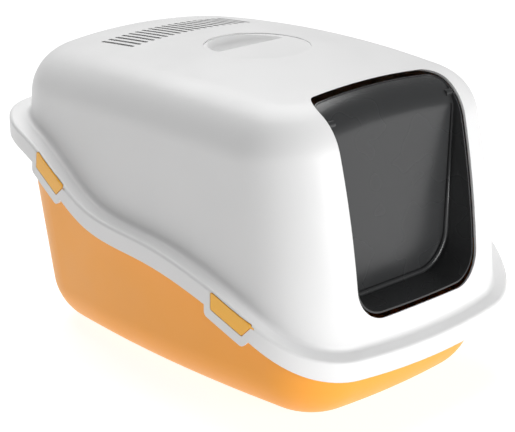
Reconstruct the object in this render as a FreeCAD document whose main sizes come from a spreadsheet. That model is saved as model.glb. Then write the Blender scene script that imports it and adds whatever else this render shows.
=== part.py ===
"""Hooded cat litter box: a wavy-edged tray, a domed hood, a swing flap, four clips and a roof filter.

Frame: +Z up, the flap end faces -Y, origin at the centre of the footprint on the resting face.
All sizes are in millimetres and live in the "sizes" spreadsheet.
"""
import FreeCAD, Part
import os
import Sketcher
from FreeCAD import Placement, Rotation, Vector

HALF_TURN = 3.141592653589793

doc = FreeCAD.newDocument("litter_box")
sizes = doc.addObject("Spreadsheet::Sheet", "sizes")

DRIVING_SIZES = {
    # outline of the hood's skirt, seen from above
    "overall_length": 540.0,
    "overall_width": 390.0,
    "side_arc_radius": 1600.0,
    "front_arc_radius": 790.0,
    "rear_arc_radius": 845.0,
    "front_corner_radius": 94.0,
    "rear_corner_radius": 97.0,
    # heights of the wavy joint line between hood and tray, from the front to the rear
    "wave_z_front": 66.0,
    "wave_z_rise": 82.0,
    "wave_z_front_clip": 108.0,
    "wave_z_shoulder": 137.0,
    "wave_z_waist": 155.0,
    "wave_z_middle": 167.5,
    "wave_z_rear_clip": 213.0,
    "wave_z_rear": 233.5,
    # where those heights stand: from the front end, from the middle, from the rear end
    "wave_rise_inset": 35.0,
    "wave_front_clip_inset": 80.0,
    "wave_shoulder_inset": 150.0,
    "wave_waist_shift": -40.0,
    "wave_middle_shift": 60.0,
    "wave_rear_clip_inset": 120.0,
    "wave_rear_inset": 40.0,
    "wave_overrun": 11.0,
    # hood
    "hood_wall": 3.0,
    "skirt_depth": 21.0,
    "ledge_width": 14.0,
    "roof_z": 346.0,
    "cabin_base_z": 60.0,
    "roof_allowance": 6.0,
    "side_draft": 14.4,
    "front_lean": 46.6,
    "rear_draft": 11.0,
    "roof_edge_radius": 56.0,
    "roof_crown_across": 893.0,
    "roof_crown_along": 1786.0,
    "crease_radius": 3.5,
    "wall_foot_radius": 6.0,
    # doorway, cut through a plane that leans from the sill back to the roof
    "door_sill_inset": 12.0,
    "door_sill_height": 55.0,
    "door_top_inset": 92.0,
    "door_top_drop": 5.1,
    "door_half_width_top": 95.0,
    "door_half_width_foot": 90.0,
    "door_foot_radius": 36.0,
    "door_top_radius": 17.0,
    "door_top_arch": 5.0,
    # grip in the roof
    "grip_radius": 58.5,
    "grip_y": -6.0,
    "grip_shelf_depth": 2.6,
    "grip_well_radius": 50.0,
    "grip_well_depth": 26.0,
    "grip_edge_y": 3.5,
    # vent slots in the roof
    "vent_count": 19,
    "vent_pitch": 9.6,
    "vent_slot_width": 4.4,
    "vent_slot_length": 56.0,
    "vent_rear_inset": 116.0,
    # tray, its insets measured at the resting face
    "tray_wall": 2.6,
    "tray_side_inset": 47.5,
    "tray_front_inset": 39.0,
    "tray_rear_inset": 36.5,
    "tray_side_draft": 0.149,
    "tray_front_draft": 0.207,
    "tray_rear_draft": 0.01,
    "tray_foot_radius": 64.0,
    "tray_outline_inset": 20.0,
    "rim_clearance": 0.5,
    "rim_lip_height": 8.0,
    "seat_gap": 0.3,
    # clip ears and clips
    "front_clip_inset": 111.0,
    "rear_clip_inset": 142.0,
    "ear_drop": 11.5,
    "ear_root": 12.6,
    "ear_corner_radius": 6.0,
    "ear_side": 9.0,
    "window_foot_z": -1.0,
    "window_height": 18.5,
    "window_foot_half": 22.5,
    "window_top_half": 30.0,
    "window_corner_radius": 2.5,
    "clip_gap": 0.8,
    "clip_thickness": 3.0,
    "clip_axis_depth": 1.3,
    "clip_pin_radius": 0.8,
    "clip_pin_reach": 1.6,
    "clip_hook_z": 5.5,
    "clip_hook_height": 3.0,
    "clip_hook_reach": 3.0,
    "clip_hook_root": 1.0,
    "clip_hook_width": 30.0,
    "clip_notch_side": 3.0,
    "clip_notch_drop": 5.0,
    # running fits
    "pin_running_gap": 0.08,
    "pin_end_gap": 0.5,
    "lug_gap": 0.6,
    # door flap
    "flap_gap": 1.3,
    "flap_back_gap": 0.5,
    "flap_rim_height": 0.6,
    "flap_thickness": 2.0,
    "flap_panel_offset": 6.0,
    "flap_bend_radius": 30.0,
    "flap_draft": 2.0,
    "flap_head_spread": 4.0,
    "flap_head_cut": 43.0,
    "flap_depth": 60.0,
    "flap_foot_radius": 33.0,
    "flap_axis_setback": 23.0,
    "flap_axis_drop": 26.9,
    "flap_pin_radius": 2.0,
    "flap_pin_reach": 5.0,
    "flap_knuckle_radius": 3.6,
    "flap_knuckle_length": 9.0,
    "flap_lug_radius": 4.6,
    "flap_lug_length": 8.0,
    "flap_lug_tilt": 26.0,
    "flap_lug_web": 14.0,
    # filter under the vents
    "filter_margin": 7.0,
    "filter_side_margin": 6.4,
    "filter_drop": 33.0,
    "filter_pad_thickness": 7.0,
    "filter_pad_gap": 1.0,
    "filter_pad_corner": 4.0,
    "filter_frame_wall": 2.0,
    "filter_frame_height": 13.0,
    "filter_slot_pitch": 12.0,
    "filter_slot_count": 15,
    "filter_slot_width": 6.0,
    "filter_slot_margin": 5.0,
    "filter_axis_setback": 6.0,
    "filter_axis_rise": 8.0,
    "filter_barrel_radius": 2.5,
    "filter_pin_radius": 1.5,
    "filter_lug_thickness": 4.0,
    "filter_lug_width": 9.0,
    "filter_catch_width": 24.0,
    "filter_catch_thickness": 2.0,
    "filter_catch_drop": 3.0,
    # how far blocks that cut or join pass the faces they work on
    "over_cut": 1.0,
    "through_cut": 20.0,
    "deep_cut": 60.0,
}

DERIVED_SIZES = {
    "front_clip_y": "front_clip_inset - overall_length / 2",
    "rear_clip_y": "overall_length / 2 - rear_clip_inset",
    "door_sill_y": "door_sill_inset - overall_length / 2",
    "door_sill_z": "wave_z_front + door_sill_height",
    "door_top_y": "door_top_inset - overall_length / 2",
    "door_top_z": "roof_z - door_top_drop",
    "door_lean": "atan((door_top_y - door_sill_y) / (door_top_z - door_sill_z))",
    "door_height": "sqrt((door_top_y - door_sill_y) ^ 2 + (door_top_z - door_sill_z) ^ 2)",
    "vent_y_rear": "overall_length / 2 - vent_rear_inset",
    "vent_y_front": "vent_y_rear - vent_slot_length",
    "tray_half_width": "overall_width / 2 - tray_side_inset",
    "tray_front": "overall_length / 2 - tray_front_inset",
    "tray_rear": "overall_length / 2 - tray_rear_inset",
    "flap_axis_y": "door_top_y - flap_axis_setback",
    "flap_axis_z": "door_top_z - flap_axis_drop",
    "flap_panel_y": "flap_axis_y - flap_panel_offset",
    "flap_rim_inset": "hood_wall + flap_back_gap",
    "filter_front_y": "vent_y_front - filter_margin",
    "filter_width": "vent_slot_length + 2 * filter_margin",
    "filter_length": "vent_pitch * (vent_count - 1) + vent_slot_width + 2 * filter_side_margin",
    "filter_base_z": "roof_z - filter_drop",
    "filter_axis_y": "filter_front_y + filter_width + filter_axis_setback",
    "filter_axis_z": "filter_base_z + filter_axis_rise",
}
SHEET_ROWS = {alias: str(number) for alias, number in DRIVING_SIZES.items()}
SHEET_ROWS.update({alias: "=" + rule for alias, rule in DERIVED_SIZES.items()})
for row, (alias, content) in enumerate(SHEET_ROWS.items(), start=1):
    sizes.set(f"A{row}", alias)
    sizes.set(f"B{row}", content)
    sizes.setAlias(f"B{row}", alias)
doc.recompute()

SUBPARTS = []


def label(feature, name):
    """Names a finished sub-part and puts it on the list that is written out."""
    feature.Label = name
    SUBPARTS.append(feature)
    return feature


def value(expression):
    """Number that an expression on the sheet's aliases gives, such as 'sizes.hood_wall * 2'."""
    result = sizes.evalExpression(expression)
    return float(getattr(result, "Value", result))


def plane_of(body, role):
    return next(f for f in body.Origin.OriginFeatures if f.Role == role)


def add_sketch(body, name, role, offset=None):
    sketch = body.newObject("Sketcher::SketchObject", name)
    sketch.AttachmentSupport = [(plane_of(body, role), "")]
    sketch.MapMode = "FlatFace"
    if offset is not None:
        sketch.AttachmentOffset = offset
    return sketch


def bind(sketch, constraint, expression):
    index = sketch.addConstraint(constraint)
    sketch.setExpression(f"Constraints[{index}]", expression)
    return index


def touching_centre(side_centre, side_reach, end_centre, end_reach):
    """Centre of the corner arc that touches the side arc and the end arc from the inside."""
    span = end_centre - side_centre
    along = (side_reach ** 2 - end_reach ** 2 + span.Length ** 2) / (2 * span.Length)
    across = max(side_reach ** 2 - along ** 2, 0.0) ** 0.5
    direction = span / span.Length
    normal = Vector(-direction.y, direction.x, 0)
    candidates = [side_centre + direction * along + normal * across * sign for sign in (1, -1)]
    return max(candidates, key=lambda point: point.x)


def outline_sketch(body, name, height, half_width, front, rear, inset):
    """Closed outline of eight tangent arcs at one height; the arcs' radii lose the inset."""
    sketch = add_sketch(body, name, "XY_Plane")
    sketch.setExpression(".AttachmentOffset.Base.z", height)
    radius = {
        part: f"({size} - ({inset}))"
        for part, size in {
            "side": "sizes.side_arc_radius",
            "front": "sizes.front_arc_radius",
            "rear": "sizes.rear_arc_radius",
            "front_corner": "sizes.front_corner_radius",
            "rear_corner": "sizes.rear_corner_radius",
        }.items()
    }
    r = {part: value(expression) for part, expression in radius.items()}
    right = Vector(value(half_width) - r["side"], 0, 0)
    left = Vector(-right.x, 0, 0)
    fore = Vector(0, r["front"] - value(front), 0)
    aft = Vector(0, value(rear) - r["rear"], 0)
    front_right = touching_centre(right, r["side"] - r["front_corner"], fore, r["front"] - r["front_corner"])
    rear_right = touching_centre(right, r["side"] - r["rear_corner"], aft, r["rear"] - r["rear_corner"])
    front_left = Vector(-front_right.x, front_right.y, 0)
    rear_left = Vector(-rear_right.x, rear_right.y, 0)
    ring = [
        (fore, "front", front_left, front_right),
        (front_right, "front_corner", fore, right),
        (right, "side", front_right, rear_right),
        (rear_right, "rear_corner", right, aft),
        (aft, "rear", rear_right, rear_left),
        (rear_left, "rear_corner", aft, left),
        (left, "side", rear_left, front_left),
        (front_left, "front_corner", left, fore),
    ]
    for centre, part, before, after in ring:
        circle = Part.Circle(centre, Vector(0, 0, 1), r[part])
        ends = []
        for neighbour in (before, after):
            # the joint lies on the line through both centres, on the side of the smaller arc
            heading = (neighbour - centre) if "corner" not in part else (centre - neighbour)
            ends.append(circle.parameter(centre + heading.normalize() * r[part]))
        sketch.addGeometry(Part.ArcOfCircle(circle, ends[0], ends[1]), False)
    count = len(ring)
    for index in range(count):
        sketch.addConstraint(Sketcher.Constraint("Tangent", index, 2, (index + 1) % count, 1))
    for index, (centre, part, before, after) in enumerate(ring):
        bind(sketch, Sketcher.Constraint("Radius", index, r[part]), radius[part])
    centre_places = [
        (0, -2, "DistanceY", (-1, 1, 0, 3), f"{radius['front']} - ({front})"),
        (4, -2, "DistanceY", (4, 3, -1, 1), f"{radius['rear']} - ({rear})"),
        (2, -1, "DistanceX", (2, 3, -1, 1), f"{radius['side']} - ({half_width})"),
        (6, -1, "DistanceX", (-1, 1, 6, 3), f"{radius['side']} - ({half_width})"),
    ]
    for arc, axis, kind, ends, expression in centre_places:
        sketch.addConstraint(Sketcher.Constraint("PointOnObject", arc, 3, axis))
        bind(sketch, Sketcher.Constraint(kind, *ends, value(expression)), expression)
    return sketch


def corner_sketch(body, name, role, corners, offset=None):
    """Closed outline of straight edges; every corner's two coordinates are expressions."""
    sketch = add_sketch(body, name, role, offset)
    points = [Vector(value(x), value(y), 0) for x, y in corners]
    count = len(points)
    for index in range(count):
        sketch.addGeometry(Part.LineSegment(points[index], points[(index + 1) % count]), False)
    for index in range(count):
        sketch.addConstraint(Sketcher.Constraint("Coincident", index, 2, (index + 1) % count, 1))
    for index, (x, y) in enumerate(corners):
        for kind, expression in (("DistanceX", x), ("DistanceY", y)):
            bind(sketch, Sketcher.Constraint(kind, -1, 1, index, 1, value(expression)), expression)
    return sketch


def pad(body, sketch, length, symmetric=False, reverse=False):
    feature = body.newObject("PartDesign::Pad", body.Name + "_pad")
    feature.Profile = sketch
    feature.setExpression("Length", length)
    feature.Midplane = symmetric
    feature.Reversed = reverse
    return feature


def new_body(name):
    return doc.addObject("PartDesign::Body", name)


def combine(kind, name, *shapes):
    """Part::Cut takes a base and a tool; Part::MultiFuse and Part::MultiCommon take any number."""
    feature = doc.addObject(kind, name)
    if kind == "Part::Cut":
        feature.Base, feature.Tool = shapes
    else:
        feature.Shapes = list(shapes)
    return feature


def add_crown(body, inset):
    """Groove that leaves the roof gently domed across and along; the inset lowers the dome."""
    across = f"(sizes.roof_crown_across - ({inset}))"
    along = f"(sizes.roof_crown_along - ({inset}))"
    top = f"(sizes.roof_z - ({inset}))"
    half_span = "(sizes.overall_width / 2 + sizes.through_cut)"
    above = f"({top} + sizes.deep_cut)"
    sketch = add_sketch(body, body.Name + "_crown", "XZ_Plane")
    radius, span, peak = value(across), value(half_span), value(top)
    circle = Part.Circle(Vector(0, peak - radius, 0), Vector(0, 0, 1), radius)
    drop = radius - (radius ** 2 - span ** 2) ** 0.5
    right = Vector(span, peak - drop, 0)
    left = Vector(-span, peak - drop, 0)
    high_left = Vector(-span, value(above), 0)
    high_right = Vector(span, value(above), 0)
    sketch.addGeometry(Part.ArcOfCircle(circle, circle.parameter(right), circle.parameter(left)), False)
    for start, end in ((left, high_left), (high_left, high_right), (high_right, right)):
        sketch.addGeometry(Part.LineSegment(start, end), False)
    axis_z = value(f"{top} - {along}")
    sketch.addGeometry(Part.LineSegment(Vector(-span, axis_z, 0), Vector(span, axis_z, 0)), True)
    for index in range(4):
        sketch.addConstraint(Sketcher.Constraint("Coincident", index, 2, (index + 1) % 4, 1))
    sketch.addConstraint(Sketcher.Constraint("PointOnObject", 0, 3, -2))
    sketch.addConstraint(Sketcher.Constraint("Vertical", 1))
    sketch.addConstraint(Sketcher.Constraint("Vertical", 3))
    sketch.addConstraint(Sketcher.Constraint("Horizontal", 2))
    sketch.addConstraint(Sketcher.Constraint("Horizontal", 4))
    bind(sketch, Sketcher.Constraint("Radius", 0, radius), across)
    bind(sketch, Sketcher.Constraint("DistanceY", -1, 1, 0, 3, peak - radius), f"{top} - {across}")
    bind(sketch, Sketcher.Constraint("DistanceX", 1, 1, -1, 1, span), half_span)
    bind(sketch, Sketcher.Constraint("DistanceX", -1, 1, 3, 2, span), half_span)
    bind(sketch, Sketcher.Constraint("DistanceY", -1, 1, 2, 1, value(above)), above)
    bind(sketch, Sketcher.Constraint("DistanceX", 4, 1, -1, 1, span), half_span)
    bind(sketch, Sketcher.Constraint("DistanceX", -1, 1, 4, 2, span), half_span)
    bind(sketch, Sketcher.Constraint("DistanceY", 4, 1, -1, 1, -axis_z), f"{along} - {top}")
    groove = body.newObject("PartDesign::Groove", body.Name + "_crown_groove")
    groove.Profile = sketch
    groove.ReferenceAxis = (sketch, ["Axis0"])
    groove.Angle = CROWN_GROOVE_ANGLE
    groove.Midplane = True
    doc.recompute()
    return groove


def edge_names(shape, wanted):
    """Names of the edges whose middle point and box satisfy the test."""
    names = []
    for index, edge in enumerate(shape.Edges, start=1):
        middle = edge.valueAt((edge.FirstParameter + edge.LastParameter) / 2)
        if wanted(middle, edge):
            names.append(f"Edge{index}")
    return names


def round_edges(body, base, wanted, radius):
    fillet = body.newObject("PartDesign::Fillet", base.Name + "_round")
    fillet.Base = (base, edge_names(base.Shape, wanted))
    fillet.setExpression("Radius", radius)
    doc.recompute()
    return fillet


# ---------------------------------------------------------------- hood: cabin

CABIN_SECTIONS = 4
CROWN_GROOVE_ANGLE = 24.0


def cabin_body(name, inset):
    """Leaning, crowned block of the cabin; the inset moves all of its faces inwards."""
    body = new_body(name)
    inner = f"({inset} + sizes.ledge_width)"
    sections = []
    for index in range(CABIN_SECTIONS):
        share = f"({index} / {CABIN_SECTIONS - 1})"
        height = f"sizes.cabin_base_z + (sizes.roof_z + sizes.roof_allowance - sizes.cabin_base_z) * {share}"
        sections.append(outline_sketch(
            body, f"{name}_section_{index}", height,
            f"sizes.overall_width / 2 - {inner} - sizes.side_draft * {share}",
            f"sizes.overall_length / 2 - {inner} - sizes.front_lean * {share} ^ 2",
            f"sizes.overall_length / 2 - {inner} - sizes.rear_draft * {share}",
            inner))
    loft = body.newObject("PartDesign::AdditiveLoft", name + "_loft")
    loft.Profile = sections[0]
    loft.Sections = sections[1:]
    loft.Ruled = False
    doc.recompute()
    crown = add_crown(body, inset)
    roof_low = value("sizes.roof_z - sizes.roof_edge_radius")
    round_edges(body, crown, lambda middle, edge: middle.z > roof_low and edge.BoundBox.ZMin > roof_low,
                f"sizes.roof_edge_radius - ({inset})")
    return body


# ---------------------------------------------------------------- the wavy joint line

WAVE_STATIONS = (
    ("-sizes.overall_length / 2", "wave_z_front"),
    ("sizes.wave_rise_inset - sizes.overall_length / 2", "wave_z_rise"),
    ("sizes.wave_front_clip_inset - sizes.overall_length / 2", "wave_z_front_clip"),
    ("sizes.wave_shoulder_inset - sizes.overall_length / 2", "wave_z_shoulder"),
    ("sizes.wave_waist_shift", "wave_z_waist"),
    ("sizes.wave_middle_shift", "wave_z_middle"),
    ("sizes.overall_length / 2 - sizes.wave_rear_clip_inset", "wave_z_rear_clip"),
    ("sizes.overall_length / 2 - sizes.wave_rear_inset", "wave_z_rear"),
    ("sizes.overall_length / 2 + sizes.wave_overrun", "wave_z_rear"),
)


def wave_curve():
    points = [Vector(0, value(y), value("sizes." + alias)) for y, alias in WAVE_STATIONS]
    curve = Part.BSplineCurve()
    curve.interpolate(points)
    return curve


WAVE = wave_curve()


def wave_at(y):
    """Point and unit direction of the skirt's lower edge line at one y."""
    plane = Part.Plane(Vector(0, y, 0), Vector(0, 1, 0))
    hits, _ = plane.intersect(WAVE)
    point = Vector(hits[0].X, hits[0].Y, hits[0].Z)
    return point, WAVE.tangent(WAVE.parameter(point))[0]


def below_wave(name, lift):
    """Everything under the wave line lifted by some height, as a block as wide as the hood."""
    start, end = WAVE.StartPoint, WAVE.EndPoint
    margin = value("sizes.through_cut")
    floor = -margin
    far_front = Vector(0, start.y - margin, start.z)
    far_rear = Vector(0, end.y + margin, end.z)
    ring = [
        Part.LineSegment(far_front, start).toShape(),
        WAVE.toShape(),
        Part.LineSegment(end, far_rear).toShape(),
        Part.LineSegment(far_rear, Vector(0, far_rear.y, floor)).toShape(),
        Part.LineSegment(Vector(0, far_rear.y, floor), Vector(0, far_front.y, floor)).toShape(),
        Part.LineSegment(Vector(0, far_front.y, floor), far_front).toShape(),
    ]
    half = value("sizes.overall_width / 2 + sizes.through_cut")
    block = Part.Face(Part.Wire(ring)).extrude(Vector(2 * half, 0, 0))
    feature = doc.addObject("Part::Feature", name)
    feature.Shape = block
    feature.Placement = Placement(Vector(-half, 0, value(lift)), Rotation())
    return feature


def outline_block(name, inset):
    """Upright block inside the skirt's outline, tall enough to reach over the whole wave."""
    body = new_body(name)
    sketch = outline_sketch(
        body, name + "_outline", "sizes.cabin_base_z - sizes.through_cut",
        f"sizes.overall_width / 2 - ({inset})",
        f"sizes.overall_length / 2 - ({inset})",
        f"sizes.overall_length / 2 - ({inset})",
        inset)
    pad(body, sketch, "sizes.wave_z_rear + sizes.deep_cut - sizes.cabin_base_z")
    doc.recompute()
    return body


CREASE_HEIGHT_SLACK = 1.0
CREASE_SIDE_SLACK = 0.5
CREASE_SHORTEST = 20.0


def crease_edges(shape, outline, on_outline):
    """Edges along the ledge's top: its outer crease, or the foot of the cabin wall."""
    lift = value("sizes.skirt_depth")
    reach = value("sizes.overall_length / 2")
    upright_limit = 0.5
    sides = [face for face in outline.Faces if abs(face.normalAt(0, 0).z) < upright_limit]
    found = []
    for index, edge in enumerate(shape.Edges, start=1):
        middle = edge.valueAt((edge.FirstParameter + edge.LastParameter) / 2)
        ledge_z = wave_at(max(-reach, min(reach, middle.y)))[0].z + lift
        if abs(middle.z - ledge_z) > CREASE_HEIGHT_SLACK or edge.Length < CREASE_SHORTEST:
            continue
        gap = min(face.distToShape(Part.Vertex(middle))[0] for face in sides)
        if (gap < CREASE_SIDE_SLACK) == on_outline:
            found.append(index)
    return found


def hood_outer_solid(cabin, skirt, ledge_top):
    """Solid of the hood's outside: cabin and ledge, with both creases rounded."""
    band = combine("Part::MultiCommon", "skirt_band", skirt, ledge_top)
    whole = combine("Part::MultiFuse", "hood_block", cabin, band)
    doc.recompute()
    rounded = doc.addObject("Part::Fillet", "hood_outside")
    rounded.Base = whole
    rim = [(index, value("sizes.crease_radius")) for index in crease_edges(whole.Shape, skirt.Shape, True)]
    foot_radius = value("sizes.wall_foot_radius")
    foot = [(index, foot_radius) for index in crease_edges(whole.Shape, skirt.Shape, False)]
    rounded.Edges = [(index, radius, radius) for index, radius in rim + foot]
    doc.recompute()
    return rounded


# ---------------------------------------------------------------- clip stations

CLIP_STATIONS = {
    "front_left": ("sizes.front_clip_y", -1),
    "front_right": ("sizes.front_clip_y", 1),
    "rear_left": ("sizes.rear_clip_y", -1),
    "rear_right": ("sizes.rear_clip_y", 1),
}


def clip_frame(station):
    """Placement on the skirt's face: local X outwards, local Y along the wave, local Z up across it.

    Local Y runs towards the rear on the right-hand side and towards the front on the left.
    """
    y_expression, side = CLIP_STATIONS[station]
    y = value(y_expression)
    radius = value("sizes.side_arc_radius")
    x = value("sizes.overall_width / 2") - radius + (radius ** 2 - y ** 2) ** 0.5
    outward = Vector(side * (radius ** 2 - y ** 2) ** 0.5, y, 0).normalize()
    point, slope = wave_at(y)
    level = Vector(-outward.y, outward.x, 0)
    along = Vector(level.x, level.y, slope.z / slope.y * level.y).normalize()
    up = outward.cross(along)
    matrix = FreeCAD.Matrix(
        outward.x, along.x, up.x, side * x,
        outward.y, along.y, up.y, y,
        outward.z, along.z, up.z, point.z,
        0, 0, 0, 1)
    return Placement(matrix)


def window_corners(grow, top, bottom):
    """Trapezoid in the clip's own plane; grow widens it, top and bottom are its two heights."""
    lean = "((sizes.window_top_half - sizes.window_foot_half) / sizes.window_height)"
    foot = f"sizes.window_foot_half + ({grow}) + {lean} * (({bottom}) - sizes.window_foot_z)"
    head = f"sizes.window_foot_half + ({grow}) + {lean} * (({top}) - sizes.window_foot_z)"
    return [(f"-({foot})", bottom), (foot, bottom), (head, top), (f"-({head})", top)]


def window_block(name, station, grow, top, bottom, inward, outward, corner_radius):
    """Trapezoidal block through the skirt at one clip station."""
    body = new_body(name)
    corners = window_corners(grow, top, bottom)
    sketch = corner_sketch(body, name + "_outline", "YZ_Plane", corners)
    sketch.setExpression(".AttachmentOffset.Base.z", f"-({inward})")
    block = pad(body, sketch, f"({inward}) + ({outward})")
    doc.recompute()
    through = leans_along("x")
    round_edges(body, block, lambda middle, edge: through(edge), corner_radius)
    body.Placement = clip_frame(station)
    return body


WINDOW_TOP = "sizes.window_foot_z + sizes.window_height"


def ear_block(station):
    """Block that, cut to the skirt's wall, becomes the tongue hanging below the joint line."""
    return window_block(
        f"ear_{station}", station, "sizes.ear_side",
        "sizes.ear_root", "-sizes.ear_drop",
        "sizes.through_cut", "sizes.through_cut", "sizes.ear_corner_radius")


def window_cutter(station):
    return window_block(
        f"window_{station}", station, "0", WINDOW_TOP, "sizes.window_foot_z",
        "2 * sizes.hood_wall", "sizes.through_cut", "sizes.window_corner_radius")


CLIP_AXIS_HEIGHT = f"({WINDOW_TOP} - sizes.clip_gap - sizes.clip_thickness / 2)"
CLIP_AXIS_DEPTH = "sizes.clip_axis_depth"


def clip_rod(name, station, radius, half_length):
    """Round bar along a clip's hinge axis."""
    body = new_body(name)
    sketch = add_sketch(body, name + "_circle", "XZ_Plane")
    depth, height = value(CLIP_AXIS_DEPTH), value(CLIP_AXIS_HEIGHT)
    sketch.addGeometry(Part.Circle(Vector(-depth, height, 0), Vector(0, 0, 1), value(radius)), False)
    bind(sketch, Sketcher.Constraint("Radius", 0, value(radius)), radius)
    bind(sketch, Sketcher.Constraint("DistanceX", 0, 3, -1, 1, depth), CLIP_AXIS_DEPTH)
    bind(sketch, Sketcher.Constraint("DistanceY", -1, 1, 0, 3, height), CLIP_AXIS_HEIGHT)
    pad(body, sketch, f"2 * ({half_length})", symmetric=True)
    doc.recompute()
    body.Placement = clip_frame(station)
    return body


def clip(station):
    """Swinging clip: a plate that fills its window, two stub pins and a hook behind the foot."""
    plate = window_block(
        f"clip_plate_{station}", station, "-sizes.clip_gap",
        f"{WINDOW_TOP} - sizes.clip_gap", "sizes.window_foot_z + sizes.clip_gap",
        "sizes.clip_thickness", "0", "sizes.window_corner_radius - sizes.clip_gap")
    pins = clip_rod(f"clip_pins_{station}", station, "sizes.clip_pin_radius",
                    "sizes.window_top_half + sizes.clip_pin_reach")
    hook = new_body(f"clip_hook_{station}")
    foot, head = "sizes.clip_hook_z", "(sizes.clip_hook_z + sizes.clip_hook_height)"
    tip = "-(sizes.clip_thickness + sizes.clip_hook_reach)"
    root = "-sizes.clip_hook_root"
    corners = [(root, foot), (tip, foot), (tip, head), (root, head)]
    sketch = corner_sketch(hook, f"clip_hook_outline_{station}", "XZ_Plane", corners)
    pad(hook, sketch, "sizes.clip_hook_width", symmetric=True)
    doc.recompute()
    hook.Placement = clip_frame(station)
    return label(combine("Part::MultiFuse", f"clip_{station}_solid", plate, pins, hook), f"clip_{station}")


# ---------------------------------------------------------------- hood: doorway, grip, vents, lugs

ALONG_LIMIT = 0.6


def door_frame():
    """Placement of the doorway's plane: origin at the sill, leaning back, local Y up along the opening."""
    lean = Rotation(Vector(1, 0, 0), 90 - value("sizes.door_lean"))
    return Placement(Vector(0, value("sizes.door_sill_y"), value("sizes.door_sill_z")), lean)


def leans_along(axis):
    """Test for edges that run along one axis, within the draft of the pieces."""
    def test(edge):
        return abs(getattr(edge.tangentAt(edge.FirstParameter), axis)) > ALONG_LIMIT
    return test


def door_outline_block(name, shrink, depth_in, depth_out, tilt="0"):
    """Block through the doorway: slightly spreading sides, an arched head and four rounded corners.

    The tilt turns the block's run from the doorway's normal towards its own upward direction.
    """
    body = new_body(name)
    foot_half = f"(sizes.door_half_width_foot - ({shrink}))"
    top_half = f"(sizes.door_half_width_top - ({shrink}))"
    foot, shoulder = f"({shrink})", f"(sizes.door_height - sizes.door_top_arch - ({shrink}))"
    sketch = add_sketch(body, name + "_outline", "XY_Plane")
    arch = value("sizes.door_top_arch")
    half, low, high = value(top_half), value(foot), value(shoulder)
    arch_radius = (half ** 2 + arch ** 2) / (2 * arch)
    circle = Part.Circle(Vector(0, high + arch - arch_radius, 0), Vector(0, 0, 1), arch_radius)
    left_foot, right_foot = Vector(-value(foot_half), low, 0), Vector(value(foot_half), low, 0)
    right_top, left_top = Vector(half, high, 0), Vector(-half, high, 0)
    sketch.addGeometry(Part.LineSegment(left_foot, right_foot), False)
    sketch.addGeometry(Part.LineSegment(right_foot, right_top), False)
    arch_from, arch_to = circle.parameter(right_top), circle.parameter(left_top)
    sketch.addGeometry(Part.ArcOfCircle(circle, arch_from, arch_to), False)
    sketch.addGeometry(Part.LineSegment(left_top, left_foot), False)
    for index in range(4):
        sketch.addConstraint(Sketcher.Constraint("Coincident", index, 2, (index + 1) % 4, 1))
    for geometry, x, y in ((0, f"-{foot_half}", foot), (1, foot_half, foot), (3, f"-{top_half}", shoulder)):
        bind(sketch, Sketcher.Constraint("DistanceX", -1, 1, geometry, 1, value(x)), x)
        bind(sketch, Sketcher.Constraint("DistanceY", -1, 1, geometry, 1, value(y)), y)
    bind(sketch, Sketcher.Constraint("DistanceX", -1, 1, 2, 1, half), top_half)
    bind(sketch, Sketcher.Constraint("DistanceY", -1, 1, 2, 1, high), shoulder)
    rule = "({0} ^ 2 + sizes.door_top_arch ^ 2) / (2 * sizes.door_top_arch)".format(top_half)
    bind(sketch, Sketcher.Constraint("Radius", 2, arch_radius), rule)
    sketch.setExpression(".AttachmentOffset.Base.z", f"-({depth_in})")
    rise, run = value(f"sin({tilt})"), value(f"cos({tilt})")
    sketch.setExpression(".AttachmentOffset.Base.y", f"-({depth_in}) * tan({tilt})")
    block = pad(body, sketch, f"(({depth_in}) + ({depth_out})) / cos({tilt})")
    block.UseCustomVector = True
    block.Direction = Vector(0, rise, run)
    block.AlongSketchNormal = False
    doc.recompute()
    runs_through = leans_along("z")
    middle_height = value("sizes.door_height / 2")
    drift = rise / run

    def in_lower_half(middle):
        return middle.y - middle.z * drift < middle_height

    lower = round_edges(body, block, lambda m, e: runs_through(e) and in_lower_half(m),
                        f"sizes.door_foot_radius - ({shrink})")
    round_edges(body, lower, lambda m, e: runs_through(e) and not in_lower_half(m),
                f"sizes.door_top_radius - ({shrink})")
    body.Placement = door_frame()
    return body


def cylinder(name, radius, height, placement):
    feature = doc.addObject("Part::Cylinder", name)
    feature.setExpression("Radius", radius)
    feature.setExpression("Height", height)
    feature.Placement = placement
    return feature


def box(name, length, width, height, placement):
    feature = doc.addObject("Part::Box", name)
    feature.setExpression("Length", length)
    feature.setExpression("Width", width)
    feature.setExpression("Height", height)
    feature.Placement = placement
    return feature


def cross_bar(name, radius, x_from, x_to, y, z):
    """Round bar parallel to X between two places."""
    turn = Rotation(Vector(0, 1, 0), 90)
    return cylinder(name, radius, f"({x_to}) - ({x_from})",
                    Placement(Vector(value(x_from), value(y), value(z)), turn))


def well_block(name, grow):
    """Half a spherical cap behind the grip's straight edge; grow thickens it all round."""
    radius = "((sizes.grip_well_radius ^ 2 + sizes.grip_well_depth ^ 2) / (2 * sizes.grip_well_depth))"
    ball = doc.addObject("Part::Sphere", name + "_ball")
    ball.setExpression("Radius", f"{radius} + ({grow})")
    edge_y = value("sizes.grip_edge_y")
    centre_z = value(f"sizes.roof_z - sizes.grip_well_depth + {radius}")
    ball.Placement = Placement(Vector(0, edge_y, centre_z), Rotation())
    reach = "(sizes.grip_well_radius + 2 * sizes.hood_wall)"
    depth = f"(sizes.grip_well_depth + ({grow}) + sizes.over_cut)"
    half = box(name + "_half", f"2 * {reach}", f"{reach} + ({grow})", f"{depth} + sizes.through_cut", Placement(
        Vector(-value(reach), edge_y - value(grow), value(f"sizes.roof_z - {depth}")), Rotation()))
    return combine("Part::MultiCommon", name, ball, half)


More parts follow.
